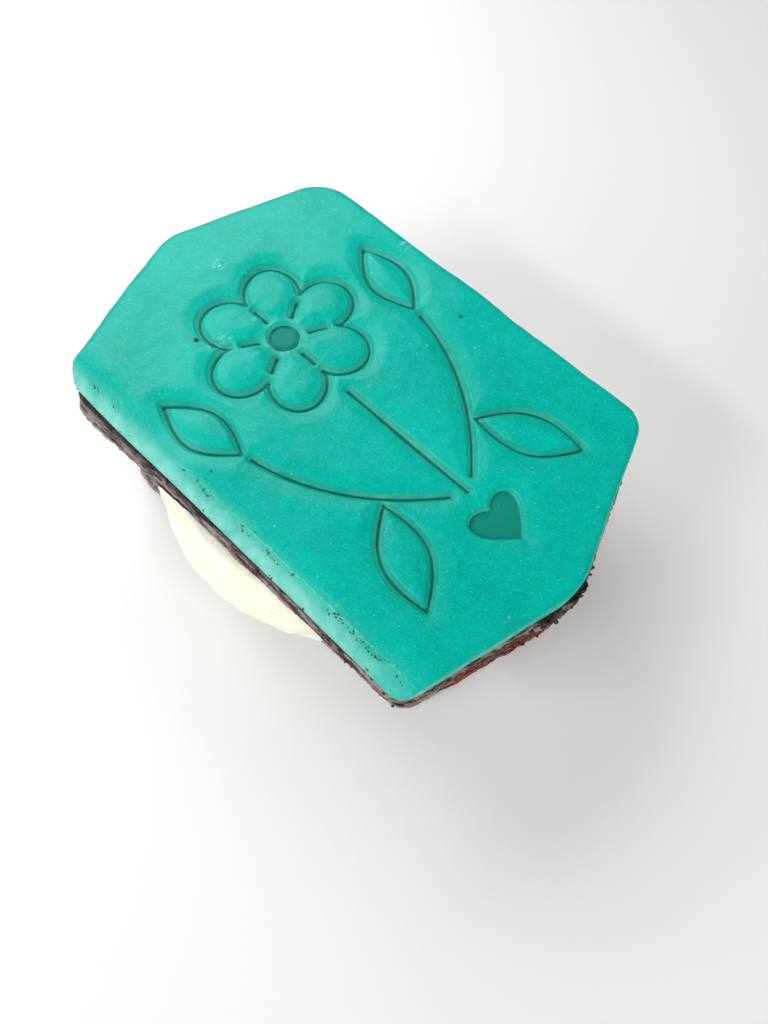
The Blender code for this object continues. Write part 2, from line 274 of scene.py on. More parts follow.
def daisy_rim(steps=24):
    """The scalloped line round the petals, with a sharp notch between each two."""
    points = []
    for step in range(PETALS * steps):
        turn = 2 * math.pi * step / (PETALS * steps)
        reach = NOTCH_RADIUS + PETAL_LENGTH * abs(math.sin(PETALS * turn / 2)) ** 0.75
        points.append(DAISY + reach * Vector((math.cos(turn), math.sin(turn))))
    return points + points[:1]


def creases():
    """The short crease between each two petals."""
    turns = [math.tau * k / PETALS for k in range(PETALS)]
    directions = [Vector((math.cos(turn), math.sin(turn))) for turn in turns]
    return [[DAISY + direction * radius for radius in CREASE] for direction in directions]


def bowed(start, bend, end, steps=24):
    """A curve from start to end, pulled towards the bend."""
    shares = [step / steps for step in range(steps + 1)]
    return [start * (1 - t) ** 2 + bend * 2 * t * (1 - t) + end * t**2 for t in shares]


def pointed_oval(foot, tip, half_width, steps=24):
    """The outline of a bud or leaf: two even curves that meet in a point at each end."""
    across = (tip - foot).orthogonal().normalized() * half_width
    out = [foot.lerp(tip, k / steps) + across * math.sin(math.pi * k / steps) for k in range(steps)]
    back = [tip.lerp(foot, k / steps) - across * math.sin(math.pi * k / steps) for k in range(steps + 1)]
    return out + back


def circle(middle, radius, steps=32):
    turns = [math.tau * step / steps for step in range(steps)]
    return [middle + radius * Vector((math.cos(turn), math.sin(turn))) for turn in turns]


def heart(steps=48):
    """A heart whose point is towards +X."""
    points = []
    for turn in (math.tau * step / steps for step in range(steps)):
        along = 13 * math.cos(turn) - 5 * math.cos(2 * turn) - 2 * math.cos(3 * turn)
        points.append(HEART + HEART_SIZE * Vector((-along, 16 * math.sin(turn) ** 3)))
    return points


off_axis = [bowed(*SIDE_STEM), pointed_oval(*BUD), pointed_oval(*LEAF)]
mirrored = [[Vector((point.x, -point.y)) for point in line] for line in off_axis]
lines = [daisy_rim(), list(STEM)] + creases() + off_axis + mirrored
prints = [heart(), circle(DAISY, EYE_RADIUS)]
print(f"{len(lines)} lines and {len(prints)} flat prints in the posy")

# %% [markdown]
# ## Pressing the posy
# A stamp pushes the icing down most right under its line and drags the skin beside it into a soft
# shoulder. Two guides lie on the icing, one of bare edges for the lines and one of faces for the flat
# prints. Vertex Weight Proximity turns each point's distance from a guide into a weight, and Displace
# pushes the points down by that weight: once narrow and deep, once wide and shallow.


# %% Guides for the stamp
def guide(name, outlines, filled):
    """A mesh of these outlines, lying on the icing's top."""
    shape = bmesh.new()
    for outline in outlines:
        corners = [shape.verts.new(on_icing(*point)) for point in outline]
        if filled:
            shape.faces.new(corners)
        else:
            for first, second in zip(corners, corners[1:]):
                shape.edges.new((first, second))
    mesh = bpy.data.meshes.new(name)
    shape.to_mesh(mesh)
    shape.free()
    thing = bpy.data.objects.new(name, mesh)
    bpy.context.scene.collection.objects.link(thing)
    return thing


line_guide = guide("line_guide", lines, filled=False)
print_guide = guide("print_guide", prints, filled=True)

# %% Finer faces where the stamp presses
FINE_REACH = 1.9 * MM
POINT_SPACING = 0.5 * MM
near_points = KDTree(sum(len(line) * 40 for line in lines + prints))
count = 0
for line in lines + [outline + outline[:1] for outline in prints]:
    for first, second in zip(line, line[1:]):
        steps = max(1, math.ceil((second - first).length / POINT_SPACING))
        for step in range(steps + 1):
            near_points.insert(on_icing(*first.lerp(second, step / steps)), count)
            count += 1
near_points.balance()


def by_the_posy(face):
    """True for a face of the top that is close to a line or a print."""
    return face.normal.z > 0.9 and near_points.find(face.calc_center_median())[2] < FINE_REACH


finer(icing, by_the_posy)
told(icing)

# %% Press
# (guide, what of it counts, reach of the dent, how much of that is flat, depth)
PRESSES = [
    (line_guide, "EDGE", 0.95 * MM, 0.20 * MM, 1.05 * MM),
    (line_guide, "EDGE", 3.40 * MM, 0.00 * MM, 0.55 * MM),
    (print_guide, "FACE", 0.50 * MM, 0.00 * MM, 0.90 * MM),
    (print_guide, "FACE", 3.40 * MM, 0.00 * MM, 0.55 * MM),
]


def press(piece):
    """Weighs every point by its distance from each guide, then pushes the points down."""
    everything = range(len(piece.data.vertices))
    for index, (target, kind, reach, flat, _) in enumerate(PRESSES):
        piece.vertex_groups.new(name=f"press_{index}").add(everything, 1.0, "REPLACE")
        near = piece.modifiers.new(f"near_{index}", "VERTEX_WEIGHT_PROXIMITY")
        near.vertex_group = f"press_{index}"
        near.target = target
        near.proximity_mode = "GEOMETRY"
        near.proximity_geometry = {kind}
        near.min_dist, near.max_dist = reach, flat
        near.falloff_type = "SMOOTH"
    for index, (_, _, _, _, depth) in enumerate(PRESSES):
        push = piece.modifiers.new(f"push_{index}", "DISPLACE")
        push.vertex_group = f"press_{index}"
        push.direction = "Z"
        push.mid_level = 0
        push.strength = -depth
    bake_modifiers(piece)
    piece.vertex_groups.clear()


flat_skin = [vertex.co.copy() for vertex in icing.data.vertices]
press(icing)
for used in (line_guide, print_guide):
    bpy.data.objects.remove(used)

# %% [markdown]
# ## Noise as a sculptor
# Food is never even. Displace with a clouds texture pushes a surface in and out: a large size gives the
# slow waves of hand-rolled icing, a small one gives crumb. Reading the texture through a stretched empty
# draws it out along the biscuit, as its flaky layers are. How far each point ended from where it began
# is kept on the piece as an attribute, so that a material can paint shade into hollows and a sheen onto
# ridges.


# %% Displacement helpers
FLAT_MARGIN = 0.1 * MM


def ruffle(piece, kind, size, strength, group="", stretch=None, direction="NORMAL"):
    """Adds a Displace modifier that moves the surface by half its strength in and out."""
    texture = bpy.data.textures.new(f"{piece.name}_{kind.lower()}", kind)
    texture.noise_scale = size
    wave = piece.modifiers.new("ruffle", "DISPLACE")
    wave.texture = texture
    wave.strength = strength
    wave.vertex_group = group
    wave.direction = direction
    if stretch:
        bpy.ops.object.empty_add()
        wave.texture_coords_object = bpy.context.object
        bpy.context.object.scale = stretch
        wave.texture_coords = "OBJECT"


def bake_ruffles(piece):
    """Applies the ruffles and removes the stretched empties that they read."""
    readers = [wave.texture_coords_object for wave in piece.modifiers if wave.texture_coords_object]
    bpy.context.view_layer.update()
    bake_modifiers(piece)
    for reader in readers:
        bpy.data.objects.remove(reader)


def keep_relief(piece, before):
    """Keeps on each point how far it moved out (or up) in millimetres since it was there."""
    relief = piece.data.attributes.new("relief", "FLOAT", "POINT")
    points = zip(piece.data.vertices, piece.data.vertex_normals, before, relief.data)
    for vertex, normal, start, slot in points:
        slot.value = (vertex.co - start).dot(normal.vector) / MM


def keep_between(piece, low, high):
    """Flattens what a ruffle pushed below or above the layer."""
    for vertex in piece.data.vertices:
        vertex.co.z = min(max(vertex.co.z, low), high)


def dissolve_flat(piece, height, direction):
    """Makes one face of the hidden flat at this height, to spend no faces there."""

    def lies_there(face):
        level = abs(face.calc_center_median().z - height) < FLAT_MARGIN
        return level and face.normal.z * direction > 0.99

    edit(piece)
    pick("FACE", lies_there)
    bpy.ops.mesh.dissolve_faces()
    done()


# %% Slow waves in the icing
keep_relief(icing, flat_skin)
icing.vertex_groups.new(name="above_hem").add(
    [v.index for v in icing.data.vertices if v.co.z > icing_low.z + FLAT_MARGIN], 1.0, "REPLACE"
)
ruffle(icing, "CLOUDS", 15 * MM, 0.7 * MM, "above_hem")
ruffle(icing, "CLOUDS", 4.5 * MM, 0.16 * MM, "above_hem")
bake_ruffles(icing)
dissolve_flat(icing, icing_low.z, -1)
told(icing)

# %% [markdown]
# ## The chocolate biscuits
# A cut biscuit has a flat top and base and a broken side: flaky layers, drawn out lengthwise, with
# crumbs and dark cracks between them. Each biscuit starts as the plaque, drawn in a little at its top
# because the dough spread as it baked. It gets a skin that is finer on its side than on its flats, and
# then three ruffles: slow waves, drawn-out layers and crumb.

# %% Bake two biscuits
UPPER_RADII = [radius * MM for radius in (5.5, 9, 4, 3.5, 6, 5)]
LOWER_RADII = [radius * MM for radius in (5.5, 9, 10, 4, 8, 5)]
BISCUIT_DRAFT = 1.2 * MM
TOP_HIDDEN, BASE_HIDDEN = 1, -1


def biscuit(name, node, radii, hidden_side, turn, spread, slid):
    """A biscuit at its node's place, spread a little as it baked, with a crumbly side."""
    low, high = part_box(node)
    thickness = high.z - low.z
    piece = plaque(name, thickness, radii)
    edit(piece)
    pick("VERT", lambda corner: corner.co.z > thickness / 2)
    drawn_in = (1 - 2 * BISCUIT_DRAFT / TIP_TO_TIP, 1 - 2 * BISCUIT_DRAFT / WIDTH, 1)
    bpy.ops.transform.resize(value=drawn_in, center_override=(0, 0, 0))
    done()
    soften_rim(piece, thickness, 0.5 * MM, 2)
    soften_rim(piece, 0, 0.5 * MM, 2)
    settle(piece, low.z, ((low + high) / 2).to_2d() + Vector((slid, 0)), turn, spread)
    even_skin(piece, 0.5 * MM)
    dissolve_flat(piece, high.z if hidden_side > 0 else low.z, hidden_side)
    finer(piece, lambda face: abs(face.normal.z) < 0.8)
    crumble(piece, low.z, high.z)
    return piece


def crumble(piece, low, high):
    """Roughens the side most, an open flat a little, and a hidden flat not at all."""
    start = [vertex.co.copy() for vertex in piece.data.vertices]
    rough = piece.vertex_groups.new(name="rough")
    for vertex, normal in zip(piece.data.vertices, piece.data.vertex_normals):
        on_side = 1 - abs(normal.vector.z)
        clear_of_flats = min(vertex.co.z - low, high - vertex.co.z) > FLAT_MARGIN
        rough.add([vertex.index], max(on_side, 0.15) if clear_of_flats else 0.0, "REPLACE")
    ruffle(piece, "CLOUDS", 9 * MM, 0.8 * MM, "rough")
    ruffle(piece, "CLOUDS", 0.9 * MM, 1.5 * MM, "rough", stretch=(9, 9, 1))
    ruffle(piece, "CLOUDS", 0.6 * MM, 0.7 * MM, "rough", stretch=(2, 2, 1))
    bake_ruffles(piece)
    piece.vertex_groups.clear()
    keep_between(piece, low, high)
    keep_relief(piece, start)
    told(piece)


upper = biscuit(
    "upper_chocolate_biscuit",
    "upper_biscuit",
    UPPER_RADII,
    TOP_HIDDEN,
    turn=math.radians(0.8),
    spread=1.0 * MM,
    slid=0.4 * MM,
)
lower = biscuit(
    "lower_chocolate_biscuit",
    "lower_biscuit",
    LOWER_RADII,
    BASE_HIDDEN,
    turn=math.radians(2.1),
    spread=0.35 * MM,
    slid=-0.3 * MM,
)

# %% [markdown]
# ## The pressed scoop
# A ball of ice cream squeezed between two plates becomes a fat disc: flat above and below, with a
# bulging side that stays steep. It starts as a sphere. Each ring of points is spread outwards by a rule
# that fills the ball out, both caps are cut off where the biscuits press, and the torn, scooped texture
# comes from ruffles.

# %% Press a scoop
SCOOP_FULLNESS = 0.55
SCOOP_HEIGHT_BEFORE = 1.8
scoop_low, scoop_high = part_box("ice_cream")
scoop_middle = (scoop_low + scoop_high) / 2
scoop_half = (scoop_high.z - scoop_low.z) / 2
scoop_radius = min(scoop_high.x - scoop_low.x, scoop_high.y - scoop_low.y) / 2 - 0.3 * MM
RINGS = 48

bpy.ops.object.select_all(action="DESELECT")
bpy.ops.mesh.primitive_uv_sphere_add(segments=96, ring_count=RINGS, radius=1)
scoop = bpy.context.object
scoop.name = "vanilla_scoop"
edit(scoop)
for ring in range(1, RINGS):
    tilt = math.pi * ring / RINGS
    pick("VERT", lambda corner: abs(corner.co.z - math.cos(tilt)) < 1e-4)
    spread = math.sin(tilt) ** (SCOOP_FULLNESS - 1)
    bpy.ops.transform.resize(value=(spread, spread, 1), center_override=(0, 0, 0))
bpy.ops.mesh.select_all(action="SELECT")
shape_of_scoop = (scoop_radius, scoop_radius, scoop_half * SCOOP_HEIGHT_BEFORE)
bpy.ops.transform.resize(value=shape_of_scoop, center_override=(0, 0, 0))
for side in (-1, 1):
    bpy.ops.mesh.select_all(action="SELECT")
    bpy.ops.mesh.bisect(
        plane_co=(0, 0, side * scoop_half), plane_no=(0, 0, side), use_fill=True, clear_outer=True
    )
done()
scoop.location = scoop_middle
choose(scoop)
bpy.ops.object.transform_apply()
even_skin(scoop, 0.45 * MM)

# %% Tear its side
for side in (-1, 1):
    dissolve_flat(scoop, scoop_middle.z + side * scoop_half, side)
start = [vertex.co.copy() for vertex in scoop.data.vertices]
torn = [v.index for v in scoop.data.vertices if abs(v.co.z - scoop_middle.z) < scoop_half - FLAT_MARGIN]
scoop.vertex_groups.new(name="side").add(torn, 1.0, "REPLACE")
ruffle(scoop, "CLOUDS", 9 * MM, 1.5 * MM, "side")
ruffle(scoop, "CLOUDS", 2.4 * MM, 0.8 * MM, "side", stretch=(1.5, 1.5, 1))
ruffle(scoop, "CLOUDS", 0.9 * MM, 0.35 * MM, "side")
bake_ruffles(scoop)
scoop.vertex_groups.clear()
keep_between(scoop, scoop_low.z, scoop_high.z)
keep_relief(scoop, start)
told(scoop)

# %% [markdown]
# ## Crumbs and grains
# Biscuit crumbs stick to the icing's side, mostly low down by the hem, and a few lie on top. Sugar that
# never dissolved shows as pale grains, half sunk in the icing. One small stone of a crumb is modelled,
# then copied to many places, turned and sized at random, and each kind is joined to one mesh.


# %% Scatter helpers
def stone(detail, dent):
    """One small uneven lump of about unit radius."""
    bpy.ops.object.select_all(action="DESELECT")
    bpy.ops.mesh.primitive_ico_sphere_add(subdivisions=detail, radius=1)
    edit(bpy.context.object)
    bpy.ops.transform.vertex_random(offset=dent, seed=4)
    done()
    return bpy.context.object


def scattered(name, model, places):
    """One mesh of all the copies; a place is (point, turn, size along x, y and z)."""
    heap = bmesh.new()
    for point, turn, size in places:
        first = len(heap.verts)
        heap.from_mesh(model.data)
        heap.verts.ensure_lookup_table()
        matrix = Matrix.LocRotScale(point, Euler(turn), Vector(size))
        bmesh.ops.transform(heap, matrix=matrix, verts=heap.verts[first:])
    mesh = bpy.data.meshes.new(name)
    heap.to_mesh(mesh)
    heap.free()
    piece = bpy.data.objects.new(name, mesh)
    bpy.context.scene.collection.objects.link(piece)
    told(piece)
    return piece


def skin_point(piece, point):
    """The nearest point of a piece's skin, and the way out there."""
    _, place, normal, _ = piece.closest_point_on_mesh(point)
    return place, normal


def random_turn(dice):
    return [dice.uniform(0, math.tau) for _ in range(3)]


def round_the_side(share):
    """A point on the hexagon's outline, in plan, at this share of the way round."""
    ring = [Vector(corner) for corner in HEXAGON]
    lengths = [(ring[k] - ring[k - 1]).length for k in range(6)]
    rest = share % 1 * sum(lengths)
    for k, length in enumerate(lengths):
        if rest <= length:
            break
        rest -= length
    return plaque_middle + ring[k - 1].lerp(ring[k], rest / length)


# %% Scatter crumbs on the icing's side and top
CRUMBS_ROUND_THE_HEM = 260
CRUMB_CLUSTERS = 20
# A few that stand alone on top: (x, y, size), in millimetres.
LONE_CRUMBS = ((2.3, 24, 0.45), (-26.5, -11.3, 0.42), (-6, -26.0, 0.2), (30, 26.5, 0.15))
dice = random.Random(11)
crumb_places = []


def stick(point, size):
    """Adds a crumb of this size where the icing's skin is nearest to the point."""
    place, _ = skin_point(icing, point)
    crumb_places.append((place, random_turn(dice), [size * dice.uniform(0.6, 1.4) for _ in range(3)]))


for _ in range(CRUMBS_ROUND_THE_HEM):
    plan = round_the_side(dice.random())
    height = icing_low.z + min(abs(dice.gauss(0, 0.8)), 2.4) * MM
    stick(Vector((plan.x, plan.y, height)), dice.choice((0.08, 0.11, 0.14, 0.19)) * MM)
for _ in range(CRUMB_CLUSTERS):
    x, in_from_hem = dice.uniform(-36, 38), dice.uniform(0.3, 1.2)
    for _ in range(dice.randint(4, 12)):
        inwards = min(abs(dice.gauss(in_from_hem, 0.5)), 3.0)
        spot = on_icing((x + dice.gauss(0, 0.8)) * MM, inwards * MM - HALF_WIDTH)
        stick(spot, dice.choice((0.06, 0.08, 0.10, 0.13, 0.18)) * MM)
for x, y, size in LONE_CRUMBS:
    stick(on_icing(x * MM, y * MM), size * MM)
crumb = stone(1, 0.25)
stuck_crumbs = scattered("stuck_crumbs", crumb, crumb_places)

# %% Scatter sugar grains
SUGAR_GRAINS = 700
BARE_RIM = 1.5 * MM
grain_places = []
for _ in range(SUGAR_GRAINS):
    x, y = dice.uniform(-46, 46) * MM, dice.uniform(-30.5, 30.5) * MM
    if abs(y) > HALF_WIDTH - BARE_RIM or abs(x) > TIP - BARE_RIM - abs(y) * math.tan(END_SLOPE):
        continue
    place, normal = skin_point(icing, on_icing(x, y, MM))
    size = dice.choice((0.05, 0.07, 0.09, 0.11, 0.15)) * MM
    grain_places.append((place - normal * size * 0.6, random_turn(dice), [size] * 3))
sugar_grains = scattered("sugar_grains", crumb, grain_places)
bpy.data.objects.remove(crumb)

# %% Crumbs on the biscuits
# Two knobs of dough stand out by the stems' end. Each is (place in plan, spread along x and y, number of
# crumbs, smallest and largest size), in millimetres.
KNOBS = (((46.3, -4.6), (0.5, 1.2), 14, (0.5, 1.1)), ((48.2, 2.0), (0.2, 2.0), 26, (0.2, 0.5)))
UPPER_CRUMBS, LOWER_CRUMBS = 220, 120
lump_places = []


def lump_on(biscuit_piece, plan, height, size, flatness=1.0):
    """Adds a crumb of this size where the biscuit's skin is nearest to the place."""
    place, _ = skin_point(biscuit_piece, Vector((plan.x, plan.y, height)))
    long, wide, thick = [size * dice.uniform(0.6, 1.4) for _ in range(3)]
    lump_places.append((place, random_turn(dice), (long * flatness, wide, thick / flatness)))


for target, node, count in ((upper, "upper_biscuit", UPPER_CRUMBS), (lower, "lower_biscuit", LOWER_CRUMBS)):
    low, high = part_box(node)
    for _ in range(count):
        plan = round_the_side(dice.random())
        height = dice.uniform(low.z + 0.5 * MM, high.z - 0.3 * MM)
        lump_on(target, plan, height, dice.choice((0.15, 0.2, 0.25, 0.32, 0.45)) * MM)
low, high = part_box("upper_biscuit")
for middle, spread, count, sizes in KNOBS:
    for _ in range(count):
        plan = plaque_middle + Vector([dice.gauss(*pair) * MM for pair in zip(middle, spread)])
        height = dice.uniform(low.z + 1.5 * MM, high.z - 0.8 * MM)
        lump_on(upper, plan, height, dice.uniform(*sizes) * MM, flatness=1.7)
lump = stone(2, 0.18)
biscuit_crumbs = scattered("biscuit_crumbs", lump, lump_places)
keep_between(biscuit_crumbs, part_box("lower_biscuit")[0].z, icing_low.z)
bpy.data.objects.remove(lump)

# %% [markdown]
# ## Materials: helpers
# Every finish is built from noise in Object coordinates, so it stays on its piece when the view turns.
# These helpers add the nodes that all the finishes share.


# %% Node helpers
def linear(*srgb):
    """A colour given as on screen, 0 to 255, turned to the light values that shaders use."""
    shares = [value / 255 for value in srgb]
    return (*[s / 12.92 if s <= 0.04045 else ((s + 0.055) / 1.055) ** 2.4 for s in shares], 1.0)


class Finish:
    """A Principled material and short ways to add nodes to it."""

    def __init__(self, name, roughness):
        self.material = bpy.data.materials.new(name)
        self.material.use_nodes = True
        self.tree = self.material.node_tree
        self.shader = self.tree.nodes["Principled BSDF"]
        self.shader.inputs["Roughness"].default_value = roughness
        self.place = self.tree.nodes.new("ShaderNodeTexCoord").outputs["Object"]

    def link(self, source, target):
        if isinstance(source, bpy.types.NodeSocket):
            self.tree.links.new(source, target)
        else:
            target.default_value = source

    def noise(self, size, detail=3, stretch=(1, 1, 1)):
        """Soft noise whose blobs are about this size, in metres."""
        node = self.tree.nodes.new("ShaderNodeTexNoise")
        node.inputs["Scale"].default_value = 1 / size
        node.inputs["Detail"].default_value = detail
        self.link(self.stretched(stretch), node.inputs["Vector"])
        return node.outputs["Fac"]

    def stretched(self, stretch):
        if tuple(stretch) == (1, 1, 1):
            return self.place
        mapping = self.tree.nodes.new("ShaderNodeMapping")
        mapping.inputs["Scale"].default_value = [1 / share for share in stretch]
        self.link(self.place, mapping.inputs["Vector"])
        return mapping.outputs["Vector"]

    def cells(self, size):
        """Voronoi cells of this size: the distance from each cell's point, and its random colour."""
        node = self.tree.nodes.new("ShaderNodeTexVoronoi")
        node.inputs["Scale"].default_value = 1 / size
        self.link(self.place, node.inputs["Vector"])
        return node.outputs["Distance"], node.outputs["Color"]

    def ramp(self, factor, *stops):
        """A colour ramp; a stop is (place, colour) or (place, grey)."""
        node = self.tree.nodes.new("ShaderNodeValToRGB")
        while len(node.color_ramp.elements) < len(stops):
            node.color_ramp.elements.new(1.0)
        for element, (place, colour) in zip(node.color_ramp.elements, stops):
            element.position = place
            element.color = colour if hasattr(colour, "__len__") else (colour, colour, colour, 1)
        self.link(factor, node.inputs["Fac"])
        return node.outputs["Color"]

    def mix(self, factor, first, second, how="MIX"):
        node = self.tree.nodes.new("ShaderNodeMix")
        node.data_type = "RGBA"
        node.blend_type = how
        self.link(factor, node.inputs[0])
        self.link(first, node.inputs[6])
        self.link(second, node.inputs[7])
        return node.outputs[2]

    def math(self, how, first, second):
        node = self.tree.nodes.new("ShaderNodeMath")
        node.operation = how
        self.link(first, node.inputs[0])
        self.link(second, node.inputs[1])
        return node.outputs[0]

    def times(self, product, *others):
        """The product of these values."""
        for other in others:
            product = self.math("MULTIPLY", product, other)
        return product

    def attribute(self, name):
        node = self.tree.nodes.new("ShaderNodeAttribute")
        node.attribute_name = name
        return node.outputs["Fac"]

    def along(self, axis):
        """The X, Y or Z of the place, in metres."""
        node = self.tree.nodes.new("ShaderNodeSeparateXYZ")
        self.link(self.place, node.inputs[0])
        return node.outputs[axis]

    def distance(self, point):
        """How far the place is from a point, in metres."""
        node = self.tree.nodes.new("ShaderNodeVectorMath")
        node.operation = "DISTANCE"
        self.link(self.place, node.inputs[0])
        node.inputs[1].default_value = point
        return node.outputs["Value"]

    def ranged(self, value, low, high, at_low=0.0, at_high=1.0):
        """The value turned into 0 at low and 1 at high, or into two other numbers."""
        node = self.tree.nodes.new("ShaderNodeMapRange")
        node.inputs["From Min"].default_value = low
        node.inputs["From Max"].default_value = high
        node.inputs["To Min"].default_value = at_low
        node.inputs["To Max"].default_value = at_high
        self.link(value, node.inputs["Value"])
        return node.outputs["Result"]

    def bump(self, height, distance, strength=1.0):
        """Adds a bump to the normal, after any that is there already."""
        node = self.tree.nodes.new("ShaderNodeBump")
        node.inputs["Distance"].default_value = distance
        node.inputs["Strength"].default_value = strength
        self.link(height, node.inputs["Height"])
        normal = self.shader.inputs["Normal"]
        if normal.is_linked:
            self.link(normal.links[0].from_socket, node.inputs["Normal"])
        self.link(node.outputs["Normal"], normal)

    def colour(self, source):
        self.link(source, self.shader.inputs["Base Color"])

    def paint(self, *pieces):
        for piece in pieces:
            piece.data.materials.clear()
            piece.data.materials.append(self.material)


# %% [markdown]
# ## Teal icing
# Rolled sugar icing is dense and slightly see-through, with a satin skin. The colour is kneaded in by
# hand, so it is mottled, and fine undissolved sugar shows as pale specks. In the pressed lines painted
# shade makes the colour deeper, and the icing is less shiny there: the relief kept on the points drives
# both. Its side is paler, from starch dust and a painted sheen, and greasy and grey at the very hem,
# where crumbs of the biscuit cling. A part of the near shoulder was rubbed smooth by a hand, so it shines
# more.

# %% Kneaded colour with sugar specks
teal = Finish("teal_icing", 0.35)
teal.shader.inputs["Specular IOR Level"].default_value = 0.15
kneaded = teal.ramp(teal.noise(13 * MM, 3), (0.35, linear(0, 163, 147)), (0.65, linear(0, 173, 158)))
mottles = teal.ramp(teal.noise(1.3 * MM, 4), (0.48, 0.0), (0.78, 0.4))
mottled = teal.mix(mottles, kneaded, linear(0, 194, 178))
grain = teal.ramp(teal.noise(0.3 * MM, 2), (0.5, 0.0), (0.72, 0.4))
speckled = teal.mix(grain, mottled, linear(44, 200, 184))

# %% Sugar specks
# (spacing, radius, share of the places that have one, strength, colour)
SPECKS = (
    (0.9 * MM, 0.12 * MM, 0.40, 0.50, linear(130, 220, 206)),
    (2.7 * MM, 0.30 * MM, 0.30, 0.45, linear(120, 216, 202)),
    (9.0 * MM, 0.70 * MM, 0.25, 0.30, linear(110, 210, 196)),
)
for spacing, radius, share, strength, colour in SPECKS:
    distance, cell = teal.cells(spacing)
    fade = teal.ranged(distance, radius / spacing, radius / spacing * 0.4)
    some = teal.math("GREATER_THAN", cell, 1 - share)
    speckled = teal.mix(teal.times(fade, some, strength), speckled, colour)

# %% Painted shade in the lines, starch dust and painted sheen on the side
# Painted shade: the bottoms of the pressed lines get a darker teal.
deep = teal.ranged(teal.attribute("relief"), -1.0, -1.5)
with_painted_groove_shade = teal.mix(deep, speckled, linear(0, 126, 110))
above_hem = teal.math("SUBTRACT", teal.along("Z"), icing_low.z)
not_pressed = teal.math("SUBTRACT", 1.0, deep)
short_of_the_stems = teal.ranged(teal.along("X"), 42 * MM, 26 * MM)
low_down = teal.ranged(above_hem, 4.0 * MM, 1.6 * MM)
# Starch dust and painted sheen: the side up to 4 mm above the hem, away from the stems' end, is made paler,
# partly standing in for the light that the side catches.
starch = teal.ramp(teal.noise(3 * MM, 4), (0.3, 0.25), (0.7, 0.8))
starch_and_sheen_mask = teal.times(low_down, not_pressed, short_of_the_stems, starch)
with_starch_and_painted_sheen = teal.mix(starch_and_sheen_mask, with_painted_groove_shade, linear(152, 221, 208))

# %% Greasy hem
smeared = teal.ramp(teal.noise(1.6 * MM, 4, stretch=(2, 2, 1)), (0.4, 0.0), (0.62, 0.8))
greasy = teal.times(teal.ranged(above_hem, 0.9 * MM, 0.3 * MM), short_of_the_stems, smeared)
hemmed = teal.mix(greasy, with_starch_and_painted_sheen, linear(150, 172, 156))

# %% Scuffs
# (place in plan, radius, strength), in millimetres
SCUFFS = (
    ((-35.8, 2.0), 1.5, 0.70),
    ((-15.5, 29.0), 1.6, 0.40),
    ((-23.0, -9.0), 3.0, 0.25),
    ((41.3, 12.5), 1.0, 0.50),
)
scratchy = teal.ramp(teal.noise(0.5 * MM, 3, stretch=(1, 4, 1)), (0.52, 0.0), (0.6, 1.0))
for place, radius, strength in SCUFFS:
    near = teal.ranged(teal.distance(on_icing(*Vector(place) * MM)), radius * MM, 0.2 * radius * MM)
    hemmed = teal.mix(teal.times(near, scratchy, strength), hemmed, linear(206, 236, 228))

# %% Fine dirt by the hem
dirt = teal.times(teal.ranged(above_hem, 1.7 * MM, 0.3 * MM), 0.9)
clusters = teal.ramp(teal.noise(3 * MM, 3), (0.5, 0.0), (0.62, 1.0))
distance, cell = teal.cells(0.55 * MM)
crumbly = teal.times(teal.ranged(distance, 0.34, 0.2), dirt, clusters)
teal.colour(teal.mix(crumbly, hemmed, linear(44, 100, 76)))

# %% How the icing shines
shoulder_line = on_icing(0, NEAR_SLOPE[1][0] - HALF_WIDTH).y
teal.shader.inputs["Subsurface Weight"].default_value = 0.12
teal.shader.inputs["Subsurface Radius"].default_value = (0.0006, 0.0016, 0.0014)
teal.shader.inputs["Subsurface Scale"].default_value = 1.0
from_shoulder = teal.math("ABSOLUTE", teal.math("SUBTRACT", teal.along("Y"), shoulder_line), 0.0)
on_shoulder = teal.ranged(from_shoulder, 0.9 * MM, 0.4 * MM)
polished = teal.times(on_shoulder, teal.ranged(teal.along("X"), 0.0, 8 * MM))
satin = teal.ranged(deep, 0.0, 1.0, 0.35, 0.6)
rubbed_smooth = teal.times(satin, teal.ranged(polished, 0.0, 1.0, 1.0, 0.34))
teal.link(rubbed_smooth, teal.shader.inputs["Roughness"])
teal.bump(teal.noise(0.45 * MM, 4), 0.05 * MM)
teal.bump(teal.noise(2.2 * MM, 3), 0.10 * MM)
teal.paint(icing)

# %% [markdown]
# ## Chocolate biscuit
# The side of a cut chocolate biscuit has painted shade, near black, in its cracks and a grey brown of
# dust and painted sheen on its ridges, with redder crumb where it broke freshly. The layers are drawn out
# lengthwise.

